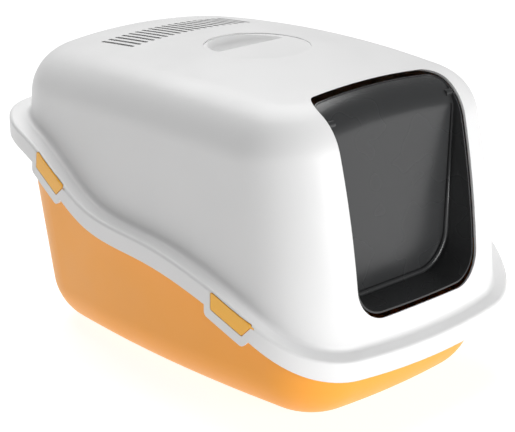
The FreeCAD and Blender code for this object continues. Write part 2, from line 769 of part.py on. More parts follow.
def grip_shelf_block(name, grow):
    """Shallow round recess round the grip, or the floor under it when grow is given."""
    depth = f"(sizes.grip_shelf_depth + ({grow}))"
    place = Placement(Vector(0, value("sizes.grip_y"), value(f"sizes.roof_z - {depth}")), Rotation())
    return cylinder(name, f"sizes.grip_radius + ({grow})", f"{depth} + sizes.through_cut - ({grow})", place)


def slot_sketch(body, name, x, y_from, y_to, width):
    """Slot with half-round ends, running along Y."""
    sketch = add_sketch(body, name, "XY_Plane")
    half = value(f"({width}) / 2")
    centre_x = value(x)
    low, high = f"({y_from}) + ({width}) / 2", f"({y_to}) - ({width}) / 2"
    ends = [Part.Circle(Vector(centre_x, value(y), 0), Vector(0, 0, 1), half) for y in (low, high)]
    left, right = centre_x - half, centre_x + half
    sketch.addGeometry(Part.ArcOfCircle(ends[0], -HALF_TURN, 0), False)
    sketch.addGeometry(Part.LineSegment(Vector(right, value(low), 0), Vector(right, value(high), 0)), False)
    sketch.addGeometry(Part.ArcOfCircle(ends[1], 0, HALF_TURN), False)
    sketch.addGeometry(Part.LineSegment(Vector(left, value(high), 0), Vector(left, value(low), 0)), False)
    for index in range(4):
        sketch.addConstraint(Sketcher.Constraint("Tangent", index, 2, (index + 1) % 4, 1))
    bind(sketch, Sketcher.Constraint("Radius", 0, half), f"({width}) / 2")
    bind(sketch, Sketcher.Constraint("DistanceX", -1, 1, 0, 3, centre_x), x)
    bind(sketch, Sketcher.Constraint("DistanceX", -1, 1, 2, 3, centre_x), x)
    bind(sketch, Sketcher.Constraint("DistanceY", -1, 1, 0, 3, value(low)), low)
    bind(sketch, Sketcher.Constraint("DistanceY", -1, 1, 2, 3, value(high)), high)
    return sketch


def repeat_along_x(body, feature, sketch, count, length):
    row = body.newObject("PartDesign::LinearPattern", body.Name + "_row")
    row.Originals = [feature]
    row.Direction = (sketch, ["H_Axis"])
    row.setExpression("Occurrences", count)
    row.setExpression("Length", length)
    body.Tip = row
    doc.recompute()


def vent_cutter():
    """Row of narrow slots across the rear of the roof."""
    body = new_body("vent_slots")
    row_length = "sizes.vent_pitch * (sizes.vent_count - 1)"
    sketch = slot_sketch(body, "vent_slot", f"-{row_length} / 2", "sizes.vent_y_front", "sizes.vent_y_rear",
                         "sizes.vent_slot_width")
    sketch.setExpression(".AttachmentOffset.Base.z", "sizes.roof_z - sizes.through_cut")
    slot = pad(body, sketch, "2 * sizes.through_cut")
    doc.recompute()
    repeat_along_x(body, slot, sketch, "sizes.vent_count", row_length)
    return body


def flap_lug(side, cabin):
    """Lug inside the front wall that carries one stub axle of the flap, cut flush with the cabin."""
    name = "flap_lug_" + ("left" if side < 0 else "right")
    low = "(sizes.door_half_width_top + sizes.lug_gap)"
    high = f"({low} + sizes.flap_lug_length)"
    x_from, x_to = (low, high) if side > 0 else (f"-{high}", f"-{low}")
    boss = cross_bar(name + "_boss", "sizes.flap_lug_radius", x_from, x_to,
                     "sizes.flap_axis_y", "sizes.flap_axis_z")
    web_turn = Rotation(Vector(1, 0, 0), -value("sizes.flap_lug_tilt"))
    radius = value("sizes.flap_lug_radius")
    corner = Vector(0, value("-sizes.flap_lug_web"), -radius)
    axis = Vector(value(x_from), value("sizes.flap_axis_y"), value("sizes.flap_axis_z"))
    web = box(name + "_web", "sizes.flap_lug_length", "sizes.flap_lug_web", "2 * sizes.flap_lug_radius",
              Placement(axis + web_turn.multVec(corner), web_turn))
    both = combine("Part::MultiFuse", name + "_full", boss, web)
    return combine("Part::MultiCommon", name, both, cabin)


def filter_lug(side, cabin):
    """Lug under the roof that carries one stub pin of the filter cover."""
    name = "filter_lug_" + ("left" if side < 0 else "right")
    near = value("sizes.filter_length / 2 + sizes.filter_frame_wall + sizes.lug_gap")
    thick, width = "sizes.filter_lug_thickness", "sizes.filter_lug_width"
    x = near if side > 0 else -near - value(thick)
    bottom = f"(sizes.filter_axis_z - {width} / 2)"
    block = box(name + "_full", thick, width, f"sizes.roof_z - {bottom}", Placement(
        Vector(x, value(f"sizes.filter_axis_y - {width} / 2"), value(bottom)), Rotation()))
    return combine("Part::MultiCommon", name, block, cabin)


def filter_catch(cabin):
    """Springy tongue under the roof that holds the front edge of the filter cover."""
    width = "sizes.filter_catch_width"
    thick = "sizes.filter_catch_thickness"
    front = f"(sizes.filter_front_y - sizes.filter_frame_wall - sizes.lug_gap - {thick})"
    bottom = "(sizes.filter_base_z - sizes.filter_catch_drop)"
    tongue = box("filter_catch_full", width, thick, f"sizes.roof_z - {bottom}", Placement(
        Vector(value(f"-{width} / 2"), value(front), value(bottom)), Rotation()))
    return combine("Part::MultiCommon", "filter_catch", tongue, cabin)


def build_hood():
    cabin_outer = cabin_body("cabin_outer", "0")
    cabin_inner = cabin_body("cabin_inner", "sizes.hood_wall")
    skirt_outer = outline_block("skirt_outer", "0")
    skirt_inner = outline_block("skirt_inner", "sizes.hood_wall")
    ledge_top = below_wave("ledge_top", "sizes.skirt_depth")
    ledge_underside = below_wave("ledge_underside", "sizes.skirt_depth - sizes.hood_wall")
    skirt_edge = below_wave("skirt_edge", "0")
    outside = hood_outer_solid(cabin_outer, skirt_outer, ledge_top)
    under_ledge = combine("Part::MultiCommon", "under_ledge", skirt_inner, ledge_underside)
    inside = combine("Part::MultiFuse", "hood_inside", cabin_inner, under_ledge)
    open_bottom = combine("Part::Cut", "hood_open", outside, skirt_edge)
    skirt_wall = combine("Part::Cut", "skirt_wall", skirt_outer, skirt_inner)
    ears = combine("Part::MultiFuse", "ear_blocks", *[ear_block(station) for station in CLIP_STATIONS])
    tongues = combine("Part::MultiCommon", "ears", skirt_wall, ears)
    shell = combine("Part::Cut", "hood_shell", open_bottom, inside)
    bowl_full = well_block("grip_bowl_full", "sizes.hood_wall")
    bowl = combine("Part::MultiCommon", "grip_bowl", bowl_full, cabin_outer)
    floor = combine("Part::MultiCommon", "grip_floor",
                    grip_shelf_block("grip_floor_full", "sizes.hood_wall"), cabin_outer)
    lugs = [flap_lug(side, cabin_outer) for side in (-1, 1)]
    lugs += [filter_lug(side, cabin_outer) for side in (-1, 1)]
    lugs.append(filter_catch(cabin_outer))
    solid = combine("Part::MultiFuse", "hood_solid", shell, tongues, bowl, floor, *lugs)
    pin_bore_half = ("sizes.filter_length / 2 + sizes.filter_frame_wall + sizes.filter_lug_thickness"
                     " + sizes.over_cut")
    cutters = [
        door_outline_block("doorway", "0", "sizes.deep_cut / 2", "sizes.deep_cut"),
        grip_shelf_block("grip_shelf", "0"),
        well_block("grip_well", "0"),
        vent_cutter(),
        cross_bar("flap_bores", "sizes.flap_pin_radius + sizes.pin_running_gap",
                  "-(sizes.door_half_width_top + sizes.flap_pin_reach + sizes.pin_end_gap)",
                  "sizes.door_half_width_top + sizes.flap_pin_reach + sizes.pin_end_gap",
                  "sizes.flap_axis_y", "sizes.flap_axis_z"),
        cross_bar("filter_bores", "sizes.filter_pin_radius + sizes.pin_running_gap",
                  f"-({pin_bore_half})", pin_bore_half,
                  "sizes.filter_axis_y", "sizes.filter_axis_z"),
    ]
    cutters += [window_cutter(station) for station in CLIP_STATIONS]
    cutters += [clip_rod(f"clip_bore_{station}", station, "sizes.clip_pin_radius + sizes.pin_running_gap",
                         "sizes.window_top_half + sizes.clip_pin_reach + sizes.pin_end_gap") for station in CLIP_STATIONS]
    openings = doc.addObject("Part::Compound", "hood_openings")
    openings.Links = cutters
    return label(combine("Part::Cut", "hood_cut", solid, openings), "hood")


# ---------------------------------------------------------------- tray

def tray_body(name, inset, floor):
    """Drafted tub with a large rounded foot; the inset moves its walls inwards, the floor its base up."""
    body = new_body(name)
    top = "(sizes.wave_z_rear + sizes.skirt_depth + sizes.through_cut)"
    sections = []
    for index, height in enumerate((top, f"({floor})")):
        sections.append(outline_sketch(
            body, f"{name}_section_{index}", height,
            f"sizes.tray_half_width + sizes.tray_side_draft * {height} - ({inset})",
            f"sizes.tray_front + sizes.tray_front_draft * {height} - ({inset})",
            f"sizes.tray_rear + sizes.tray_rear_draft * {height} - ({inset})",
            f"sizes.tray_outline_inset + ({inset})"))
    loft = body.newObject("PartDesign::AdditiveLoft", name + "_loft")
    loft.Profile = sections[0]
    loft.Sections = sections[1:]
    doc.recompute()
    low = value(floor)
    near = value("sizes.over_cut") / 2
    round_edges(body, loft, lambda middle, edge: abs(middle.z - low) < near,
                f"sizes.tray_foot_radius - ({inset})")
    return body


def build_tray():
    outer = tray_body("tray_outer", "0", "0")
    inner = tray_body("tray_inner", "sizes.tray_wall", "sizes.tray_wall")
    rim_inset = "(sizes.hood_wall + sizes.rim_clearance)"
    rim_outline = outline_block("rim_outline", rim_inset)
    rim_core = outline_block("rim_core", f"{rim_inset} + sizes.tray_wall")
    rim_top_lift = "sizes.skirt_depth - sizes.hood_wall - sizes.seat_gap"
    rim_top = below_wave("rim_top", rim_top_lift)
    rim_underside = below_wave("rim_underside", f"{rim_top_lift} - sizes.tray_wall")
    lip_bottom = below_wave("lip_bottom", f"{rim_top_lift} - sizes.rim_lip_height")
    tub = combine("Part::MultiCommon", "tub", outer, rim_top)
    rim_disc = combine("Part::MultiCommon", "rim_disc", rim_outline, rim_top)
    ring = combine("Part::Cut", "rim_band", rim_disc, rim_underside)
    lip_wall = combine("Part::Cut", "lip_wall", rim_outline, rim_core)
    lip_tall = combine("Part::MultiCommon", "lip_tall", lip_wall, rim_top)
    lip = combine("Part::Cut", "lip", lip_tall, lip_bottom)
    whole = combine("Part::MultiFuse", "tray_block", tub, ring, lip)
    notches = [window_block(
        f"notch_{station}", station, "sizes.clip_notch_side", "sizes.deep_cut", "-sizes.clip_notch_drop",
        "sizes.clip_thickness + sizes.clip_hook_reach + sizes.rim_clearance", "sizes.through_cut",
        "sizes.window_corner_radius") for station in CLIP_STATIONS]
    hollow = doc.addObject("Part::Compound", "tray_hollow")
    hollow.Links = [inner] + notches
    return label(combine("Part::Cut", "tray_cut", whole, hollow), "tray")


# ---------------------------------------------------------------- flap

def flap_foot_block(name, shrink):
    """Drafted block over the flap's height, with a rounded foot; it narrows towards the inside."""
    body = new_body(name)
    sections = []
    slope = "(sizes.flap_draft / (sizes.flap_panel_y - sizes.door_sill_y))"
    for place in ("(sizes.flap_panel_y + sizes.flap_depth)", "(sizes.door_sill_y - sizes.through_cut)"):
        draft = f"{slope} * ({place} - sizes.door_sill_y)"
        foot_half = f"(sizes.door_half_width_foot - sizes.flap_gap - ({shrink}) - {draft})"
        head_half = (f"(sizes.door_half_width_top - sizes.flap_gap + sizes.flap_head_spread"
                     f" - ({shrink}) - {draft})")
        foot = f"(sizes.door_sill_z + sizes.flap_gap + ({shrink}) + {draft})"
        head = "(sizes.door_top_z + sizes.through_cut)"
        corners = [(f"-{foot_half}", foot), (foot_half, foot), (head_half, head), (f"-{head_half}", head)]
        sketch = corner_sketch(body, f"{name}_section_{len(sections)}", "XZ_Plane", corners)
        sketch.setExpression(".AttachmentOffset.Base.z", f"-({place})")
        sections.append(sketch)
    loft = body.newObject("PartDesign::AdditiveLoft", name + "_loft")
    loft.Profile = sections[0]
    loft.Sections = sections[1:]
    loft.Ruled = True
    doc.recompute()
    deep = leans_along("y")
    middle = value("(sizes.door_sill_z + sizes.door_top_z) / 2")
    round_edges(body, loft, lambda m, e: deep(e) and m.z < middle, f"sizes.flap_foot_radius - ({shrink})")
    return body


def flap_envelope(name, shrink):
    """All that the flap may fill inside the doorway's outline, from the sill to under the roof."""
    shape = door_outline_block(name + "_head", f"sizes.flap_gap + ({shrink})",
                               "sizes.flap_depth", "sizes.deep_cut", "sizes.flap_head_cut")
    return combine("Part::MultiCommon", name, shape, flap_foot_block(name + "_foot", shrink))


def flap_core(name, inset, behind):
    """What lies behind one face of the flap's panel: upright below, rounded back under the hood's front."""
    cabin = cabin_body(name + "_cabin", f"sizes.flap_rim_inset + sizes.flap_rim_height + ({inset})")
    front = f"(sizes.flap_panel_y + ({behind}))"
    block = box(name + "_block", "sizes.overall_width", "2 * sizes.flap_depth", "sizes.roof_z", Placement(
        Vector(value("-sizes.overall_width / 2"), value(front), 0), Rotation()))
    core = combine("Part::MultiCommon", name + "_sharp", cabin, block)
    doc.recompute()
    middle = value("(sizes.door_sill_z + sizes.door_top_z) / 2")
    near = value("sizes.over_cut") / 2
    bends = [int(n[4:]) for n in edge_names(core.Shape, lambda m, e: (
        abs(m.y - value(front)) < near and m.z > middle and abs(m.x) < value("sizes.door_half_width_top")))]
    radius = value(f"sizes.flap_bend_radius - ({behind})")
    rounded = doc.addObject("Part::Fillet", name)
    rounded.Base = core
    rounded.Edges = [(index, radius, radius) for index in bends]
    doc.recompute()
    return rounded


def build_flap():
    """Smoked dish: a panel that hangs upright, walls out to the doorway's edge, a stub axle each side."""
    outside = flap_envelope("flap_outside", "0")
    inside = flap_envelope("flap_inside", "sizes.flap_thickness")
    front_core = flap_core("flap_front_core", "0", "0")
    back_core = flap_core("flap_back_core", "sizes.flap_thickness", "sizes.flap_thickness")
    rim_cabin = cabin_body("flap_rim_cabin", "sizes.flap_rim_inset")
    mass = combine("Part::MultiCommon", "flap_mass", outside, rim_cabin)
    dish = combine("Part::Cut", "flap_dish", mass, back_core)
    hollow = combine("Part::Cut", "flap_hollow", inside, front_core)
    doc.recompute()
    parts = [combine("Part::Cut", "flap_shell", dish, hollow)]
    inner_x = "(sizes.door_half_width_top - sizes.flap_gap - sizes.flap_thickness)"
    outer_x = "(sizes.door_half_width_top + sizes.flap_pin_reach)"
    knuckle_x = f"({inner_x} - sizes.flap_knuckle_length)"
    for side, name in ((-1, "left"), (1, "right")):
        for piece, radius, start, end in (
                ("axle", "sizes.flap_pin_radius", knuckle_x, outer_x),
                ("knuckle", "sizes.flap_knuckle_radius", knuckle_x, inner_x)):
            x_from, x_to = (start, end) if side > 0 else (f"-{end}", f"-{start}")
            parts.append(cross_bar(f"flap_{piece}_{name}", radius, x_from, x_to,
                                   "sizes.flap_axis_y", "sizes.flap_axis_z"))
    return label(combine("Part::MultiFuse", "flap_solid", *parts), "door_flap")


# ---------------------------------------------------------------- filter under the vents

def rectangle_pad(body, name, z, height, half_x, y_from, y_to):
    corners = [(f"-({half_x})", y_from), (half_x, y_from), (half_x, y_to), (f"-({half_x})", y_to)]
    sketch = corner_sketch(body, name, "XY_Plane", corners)
    sketch.setExpression(".AttachmentOffset.Base.z", z)
    return pad(body, sketch, height)


def build_filter_pad():
    body = new_body("filter_pad_body")
    gap = "sizes.filter_pad_gap"
    block = rectangle_pad(
        body, "filter_pad_outline", "sizes.filter_base_z + sizes.filter_frame_wall + sizes.seat_gap",
        "sizes.filter_pad_thickness", f"sizes.filter_length / 2 - {gap}",
        f"sizes.filter_front_y + {gap}", f"sizes.filter_front_y + sizes.filter_width - {gap}")
    doc.recompute()
    upright = leans_along("z")
    round_edges(body, block, lambda m, e: upright(e), "sizes.filter_pad_corner")
    return label(body, "filter_pad")


def build_filter_cover():
    """Open-topped tray that holds the pad up under the vents, with a slotted floor and a rear hinge."""
    body = new_body("filter_cover_body")
    wall = "sizes.filter_frame_wall"
    rear_y = "(sizes.filter_front_y + sizes.filter_width)"
    rectangle_pad(body, "cover_outside", "sizes.filter_base_z", "sizes.filter_frame_height",
                  f"sizes.filter_length / 2 + {wall}", f"sizes.filter_front_y - {wall}", f"{rear_y} + {wall}")
    doc.recompute()
    well_corners = [
        ("-sizes.filter_length / 2", "sizes.filter_front_y"),
        ("sizes.filter_length / 2", "sizes.filter_front_y"),
        ("sizes.filter_length / 2", rear_y), ("-sizes.filter_length / 2", rear_y)]
    well = corner_sketch(body, "cover_inside", "XY_Plane", well_corners)
    well.setExpression(".AttachmentOffset.Base.z", f"sizes.filter_base_z + {wall}")
    pocket(body, well, "sizes.filter_frame_height")
    row_length = "sizes.filter_slot_pitch * (sizes.filter_slot_count - 1)"
    slot = slot_sketch(body, "cover_slot", f"-{row_length} / 2",
                       "sizes.filter_front_y + sizes.filter_slot_margin",
                       f"{rear_y} - sizes.filter_slot_margin", "sizes.filter_slot_width")
    slot.setExpression(".AttachmentOffset.Base.z", "sizes.filter_base_z - sizes.over_cut")
    cut = pocket(body, slot, f"{wall} + 2 * sizes.over_cut")
    repeat_along_x(body, cut, slot, "sizes.filter_slot_count", row_length)
    half = "(sizes.filter_length / 2 + sizes.filter_frame_wall)"
    barrel = cross_bar("cover_barrel", "sizes.filter_barrel_radius", f"-{half}", half,
                       "sizes.filter_axis_y", "sizes.filter_axis_z")
    pin_half = f"({half} + sizes.filter_lug_thickness)"
    pins = cross_bar("cover_pins", "sizes.filter_pin_radius", f"-{pin_half}", pin_half,
                     "sizes.filter_axis_y", "sizes.filter_axis_z")
    arm_from = f"({rear_y} + {wall} / 2)"
    arm = box("cover_arm", f"2 * {half}", f"sizes.filter_axis_y - {arm_from}", "sizes.filter_barrel_radius", Placement(
        Vector(value(f"-{half}"), value(arm_from), value("sizes.filter_axis_z")), Rotation()))
    return label(combine("Part::MultiFuse", "filter_cover_solid", body, barrel, pins, arm), "filter_cover")


def pocket(body, sketch, depth):
    """Cut upwards from the sketch, checked by the volume that goes."""
    before = body.Tip.Shape.Volume
    feature = body.newObject("PartDesign::Pocket", sketch.Name + "_cut")
    feature.Profile = sketch
    feature.setExpression("Length", depth)
    feature.Reversed = True
    doc.recompute()
    if feature.Shape.Volume >= before:
        raise RuntimeError(f"{feature.Name} removes nothing")
    return feature


# ---------------------------------------------------------------- build, check, write

def check_document():
    for item in doc.Objects:
        if "Invalid" in item.State or "Error" in item.State:
            raise RuntimeError(f"{item.Name} is in state {item.State}")
    for item in SUBPARTS:
        if item.Shape.isNull() or not item.Shape.isValid():
            raise RuntimeError(f"{item.Label} has no valid shape")


def write_parts():
    os.makedirs("parts", exist_ok=True)
    for item in SUBPARTS:
        item.Shape.exportStep(f"parts/{item.Label}.step")
        solids = len(item.Shape.Solids)
        print(f"{item.Label}: {solids} solid(s), {item.Shape.Volume / 1000:.1f} cm3")


build_tray()
build_hood()
build_flap()
build_filter_pad()
build_filter_cover()
for clip_station in CLIP_STATIONS:
    clip(clip_station)
doc.recompute()
check_document()
write_parts()
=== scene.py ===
"""Looks of a hooded cat litter box: satin plastics, smoked flap, carbon foam, stage and camera."""
import math

import bmesh
import bpy
from mathutils import Matrix, Vector


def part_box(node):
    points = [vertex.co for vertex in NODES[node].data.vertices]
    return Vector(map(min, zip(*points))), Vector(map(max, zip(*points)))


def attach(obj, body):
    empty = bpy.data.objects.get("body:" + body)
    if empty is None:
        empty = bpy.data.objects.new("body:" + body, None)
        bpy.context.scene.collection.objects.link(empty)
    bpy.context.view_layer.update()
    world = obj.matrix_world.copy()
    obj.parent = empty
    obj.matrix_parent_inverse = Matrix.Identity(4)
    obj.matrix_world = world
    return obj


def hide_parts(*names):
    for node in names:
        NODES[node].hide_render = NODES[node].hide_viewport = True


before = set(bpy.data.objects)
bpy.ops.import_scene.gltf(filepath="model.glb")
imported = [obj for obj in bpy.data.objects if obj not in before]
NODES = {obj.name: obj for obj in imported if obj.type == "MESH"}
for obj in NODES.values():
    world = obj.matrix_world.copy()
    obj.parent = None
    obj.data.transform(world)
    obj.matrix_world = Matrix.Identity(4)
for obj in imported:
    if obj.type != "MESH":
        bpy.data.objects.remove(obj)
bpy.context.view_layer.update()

bl_info = {
    "name": "Hooded litter box looks",
    "version": (1, 0, 0),
    "blender": (4, 5, 0),
    "location": "View3D > Sidebar > Litter Box",
    "description": "Finishes of a hooded cat litter box, its foam filter, and a plain studio round it",
    "category": "Object",
}

PIN_REACH = 0.007
SIDE_SPREAD = 0.003
RIB_END_TAPER = 0.2
RIB_CORNER_STEPS = 20
WELD_DISTANCE = 1e-6
SATIN = 0.42
CLIP_GLOSS = 0.34
FLAP_GLOSS = 0.27
COVER_SATIN = 0.45
PLASTIC_IOR = 1.49


# ---------------------------------------------------------------- node helpers

def new_material(name):
    """Empty material with a surface shader and its output."""
    material = bpy.data.materials.new(name)
    material.use_nodes = True
    tree = material.node_tree
    tree.nodes.clear()
    output = tree.nodes.new("ShaderNodeOutputMaterial")
    shader = tree.nodes.new("ShaderNodeBsdfPrincipled")
    tree.links.new(shader.outputs["BSDF"], output.inputs["Surface"])
    return material, tree, shader


def add_node(tree, kind, settings=None, links=None, **values):
    """Node of one kind with attributes, socket values and incoming links."""
    node = tree.nodes.new(kind)
    for name, setting in (settings or {}).items():
        setattr(node, name, setting)
    for name, number in values.items():
        node.inputs[name.replace("_", " ")].default_value = number
    for name, socket in (links or {}).items():
        tree.links.new(socket, node.inputs[name])
    return node


def mapped_range(tree, source, low, high, to_low, to_high):
    node = add_node(tree, "ShaderNodeMapRange", links={"Value": source},
                    settings={"interpolation_type": "SMOOTHSTEP"})
    node.inputs["From Min"].default_value = low
    node.inputs["From Max"].default_value = high
    node.inputs["To Min"].default_value = to_low
    node.inputs["To Max"].default_value = to_high
    return node.outputs["Result"]


def noise(tree, place, size, detail=2.0, roughness=0.5):
    """Soft noise with features of about one size, in metres."""
    return add_node(tree, "ShaderNodeTexNoise", links={"Vector": place},
                    Scale=1.0 / size, Detail=detail, Roughness=roughness).outputs["Fac"]


def rounded_normal(tree, radius):
    """Normal that softens the sharp edges of a moulded piece."""
    edge = add_node(tree, "ShaderNodeBevel", settings={"samples": 4}, Radius=radius)
    return edge.outputs["Normal"]


def bumped(tree, height, distance, normal, strength=1.0):
    """Normal with one more layer of relief on it."""
    node = add_node(tree, "ShaderNodeBump", links={"Height": height, "Normal": normal},
                    Strength=strength, Distance=distance)
    return node.outputs["Normal"]


def mixed_color(tree, factor, low, high):
    node = add_node(tree, "ShaderNodeMix", settings={"data_type": "RGBA"}, links={"Factor": factor})
    sockets = [socket for socket in node.inputs if socket.type == "RGBA"]
    sockets[0].default_value = (*low, 1.0)
    sockets[1].default_value = (*high, 1.0)
    return next(socket for socket in node.outputs if socket.type == "RGBA")


def shade_of(color, factor):
    return tuple(min(1.0, channel * factor) for channel in color)


def satin_plastic(name, color, roughness, looks):
    """Injection-moulded plastic: fine grain, slow flow waves, uneven gloss, slight colour drift."""
    material, tree, shader = new_material(name)
    place = add_node(tree, "ShaderNodeTexCoord").outputs["Object"]
    drift = noise(tree, place, 0.11)
    flow = noise(tree, place, 0.045, detail=1.0)
    grain = noise(tree, place, looks.grain_size, detail=3.0, roughness=0.6)
    tone = mapped_range(tree, drift, 0.1, 0.9, 0.0, 1.0)
    tree.links.new(mixed_color(tree, tone, shade_of(color, 0.97), shade_of(color, 1.01)),
                   shader.inputs["Base Color"])
    gloss = mapped_range(tree, flow, 0.2, 0.8, roughness - looks.gloss_drift,
                         roughness + looks.gloss_drift)
    tree.links.new(gloss, shader.inputs["Roughness"])
    normal = rounded_normal(tree, looks.edge_softness)
    normal = bumped(tree, flow, looks.wave_depth, normal)
    normal = bumped(tree, grain, looks.grain_depth, normal, looks.grain_strength)
    tree.links.new(normal, shader.inputs["Normal"])
    shader.inputs["IOR"].default_value = PLASTIC_IOR
    return material


def carbon_foam(name, color, cell_size):
    """Open-cell foam soaked with carbon: round pores whose floors are darkened with painted shade."""
    material, tree, shader = new_material(name)
    place = add_node(tree, "ShaderNodeTexCoord").outputs["Object"]
    pores = add_node(tree, "ShaderNodeTexVoronoi", settings={"feature": "F1"},
                     links={"Vector": place}, Scale=1.0 / cell_size).outputs["Distance"]
    fuzz = noise(tree, place, cell_size / 4, detail=4.0)
    # Painted shade: one mask darkens the pore floors to 0.3 of the foam colour and lightens the cell
    # walls to 1.8; the same mask also gives the pores their relief.
    pore_relief_and_shade = mapped_range(tree, pores, 0.1, 0.6, 0.0, 1.0)
    tree.links.new(mixed_color(tree, pore_relief_and_shade, shade_of(color, 0.3), shade_of(color, 1.8)),
                   shader.inputs["Base Color"])
    tree.links.new(mapped_range(tree, fuzz, 0.2, 0.8, 0.85, 1.0), shader.inputs["Roughness"])
    blank = add_node(tree, "ShaderNodeNewGeometry").outputs["Normal"]
    normal = bumped(tree, pore_relief_and_shade, cell_size / 3, blank)
    tree.links.new(bumped(tree, fuzz, cell_size / 10, normal), shader.inputs["Normal"])
    shader.inputs["Specular IOR Level"].default_value = 0.2
    return material


def dress(node_name, material):
    """Gives a carried-over CAD node its finish."""
    node = NODES[node_name]
    node.data.materials.clear()
    node.data.materials.append(material)
    return node


def new_piece(name, mesh, material, body):
    """Finished piece with its place in its mesh, riding on one body."""
    mesh.materials.append(material)
    for face in mesh.polygons:
        face.use_smooth = True
    piece = bpy.data.objects.new(name, mesh)
    bpy.context.scene.collection.objects.link(piece)
    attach(piece, body)
    return piece


def mesh_from(form, name):
    """Mesh datablock from a bmesh, with its faces turned outwards."""
    bmesh.ops.recalc_face_normals(form, faces=form.faces)
    mesh = bpy.data.meshes.new(name)
    form.to_mesh(mesh)
    form.free()
    return mesh


# ---------------------------------------------------------------- settings

class LitterBoxPlastics(bpy.types.PropertyGroup):
    """Colours and surface grain of the moulded pieces."""
    hood_color: bpy.props.FloatVectorProperty(
        name="Hood colour", description="Colour of the hood's white plastic",
        subtype="COLOR", size=3, min=0.0, max=1.0, default=(0.80, 0.80, 0.80))
    tray_color: bpy.props.FloatVectorProperty(
        name="Tray colour", description="Colour of the tray",
        subtype="COLOR", size=3, min=0.0, max=1.0, default=(0.92, 0.375, 0.034))
    # Painted light: the clips get a lighter orange than the tray's, standing in for the light on their
    # faces at the flange's outer edge.
    clip_color_with_painted_light: bpy.props.FloatVectorProperty(
        name="Clip colour", description="Colour of the four clips",
        subtype="COLOR", size=3, min=0.0, max=1.0, default=(1.0, 0.50, 0.050))
    flap_color: bpy.props.FloatVectorProperty(
        name="Flap colour", description="Colour of the smoked flap",
        subtype="COLOR", size=3, min=0.0, max=1.0, default=(0.034, 0.035, 0.036))
    cover_color: bpy.props.FloatVectorProperty(
        name="Filter cover colour", description="Colour of the slotted cover under the vents",
        subtype="COLOR", size=3, min=0.0, max=1.0, default=(0.74, 0.74, 0.73))
    grain_size: bpy.props.FloatProperty(
        name="Grain size", description="Width of one grain of the moulded surface",
        unit="LENGTH", default=0.0009, min=0.0001, max=0.01)
    grain_depth: bpy.props.FloatProperty(
        name="Grain depth", description="Height of the moulded grain",
        unit="LENGTH", default=0.00006, min=0.0, max=0.001)
    grain_strength: bpy.props.FloatProperty(
        name="Grain strength", description="How much of the grain's relief shows",
        subtype="FACTOR", default=0.45, min=0.0, max=1.0)
    wave_depth: bpy.props.FloatProperty(
        name="Flow wave depth", description="Height of the slow waves left by moulding",
        unit="LENGTH", default=0.0002, min=0.0, max=0.005)
    gloss_drift: bpy.props.FloatProperty(
        name="Gloss drift", description="How far the roughness wanders up and down",
        subtype="FACTOR", default=0.035, min=0.0, max=0.3)
    edge_softness: bpy.props.FloatProperty(
        name="Edge softness", description="Radius that sharp edges seem to have",
        unit="LENGTH", default=0.0007, min=0.0, max=0.01)


class LitterBoxFlap(bpy.types.PropertyGroup):
    """Raised rib that follows the fold of the flap."""
    rib_radius: bpy.props.FloatProperty(
        name="Rib radius", description="Radius of the rounded rib along the flap's fold",
        unit="LENGTH", default=0.0031, min=0.0005, max=0.01)
    rib_corner: bpy.props.FloatProperty(
        name="Rib corner", description="Radius of the rib's two lower corners",
        unit="LENGTH", default=0.040, min=0.005, max=0.08)
    rib_inset: bpy.props.FloatProperty(
        name="Rib inset", description="How far the rib stands inside the flap's widest place",
        unit="LENGTH", default=0.0058, min=0.0, max=0.03)
    rib_foot: bpy.props.FloatProperty(
        name="Rib foot", description="Height of the rib above the flap's lower edge",
        unit="LENGTH", default=0.0056, min=0.0, max=0.03)
    rib_head: bpy.props.FloatProperty(
        name="Rib head", description="How far under the flap's top the rib runs out",
        unit="LENGTH", default=0.030, min=0.0, max=0.1)
    panel_front: bpy.props.FloatProperty(
        name="Panel front", description="Depth of the panel's face behind the flap's front edge",
        unit="LENGTH", default=0.0422, min=0.0, max=0.1)


class LitterBoxFoam(bpy.types.PropertyGroup):
    """Carbon foam under the roof vents."""
    color: bpy.props.FloatVectorProperty(
        name="Foam colour", description="Colour of the carbon foam",
        subtype="COLOR", size=3, min=0.0, max=1.0, default=(0.020, 0.020, 0.021))
    cell_size: bpy.props.FloatProperty(
        name="Cell size", description="Width of one foam cell",
        unit="LENGTH", default=0.0016, min=0.0002, max=0.01)
    edge_radius: bpy.props.FloatProperty(
        name="Edge radius", description="Rounding of the foam's cut edges",
        unit="LENGTH", default=0.0018, min=0.0002, max=0.01)
    crown: bpy.props.FloatProperty(
        name="Crown", description="How far the foam's middle swells above its edges",
        unit="LENGTH", default=0.0006, min=0.0, max=0.003)


class LitterBoxStage(bpy.types.PropertyGroup):
    """Camera, floor and lights."""
    azimuth: bpy.props.FloatProperty(
        name="Azimuth", description="Camera's turn round the box, from straight in front of the door",
        subtype="ANGLE", default=math.radians(-43.35))
    elevation: bpy.props.FloatProperty(
        name="Elevation", description="Camera's height above the horizon",
        subtype="ANGLE", default=math.radians(19.49))
    distance: bpy.props.FloatProperty(
        name="Distance", description="Camera's distance from what it looks at",
        unit="LENGTH", default=1.8026, min=0.5, max=10.0)
    target: bpy.props.FloatVectorProperty(
        name="Target", description="Point that the camera looks at",
        subtype="XYZ", size=3, default=(-0.0052, -0.0120, 0.1518))
    lens: bpy.props.FloatProperty(
        name="Lens", description="Focal length on a 36 mm wide sensor",
        unit="CAMERA", default=113.12, min=20.0, max=300.0)


# ---------------------------------------------------------------- operators

class OBJECT_OT_litter_box_hood(bpy.types.Operator):
    """Finish the hood in white satin plastic"""
    bl_idname = "object.litter_box_hood"
    bl_label = "Hood"

    def execute(self, context):
        looks = context.scene.litter_box_plastics
        dress("hood", satin_plastic("hood_white", looks.hood_color, SATIN, looks))
        return {"FINISHED"}


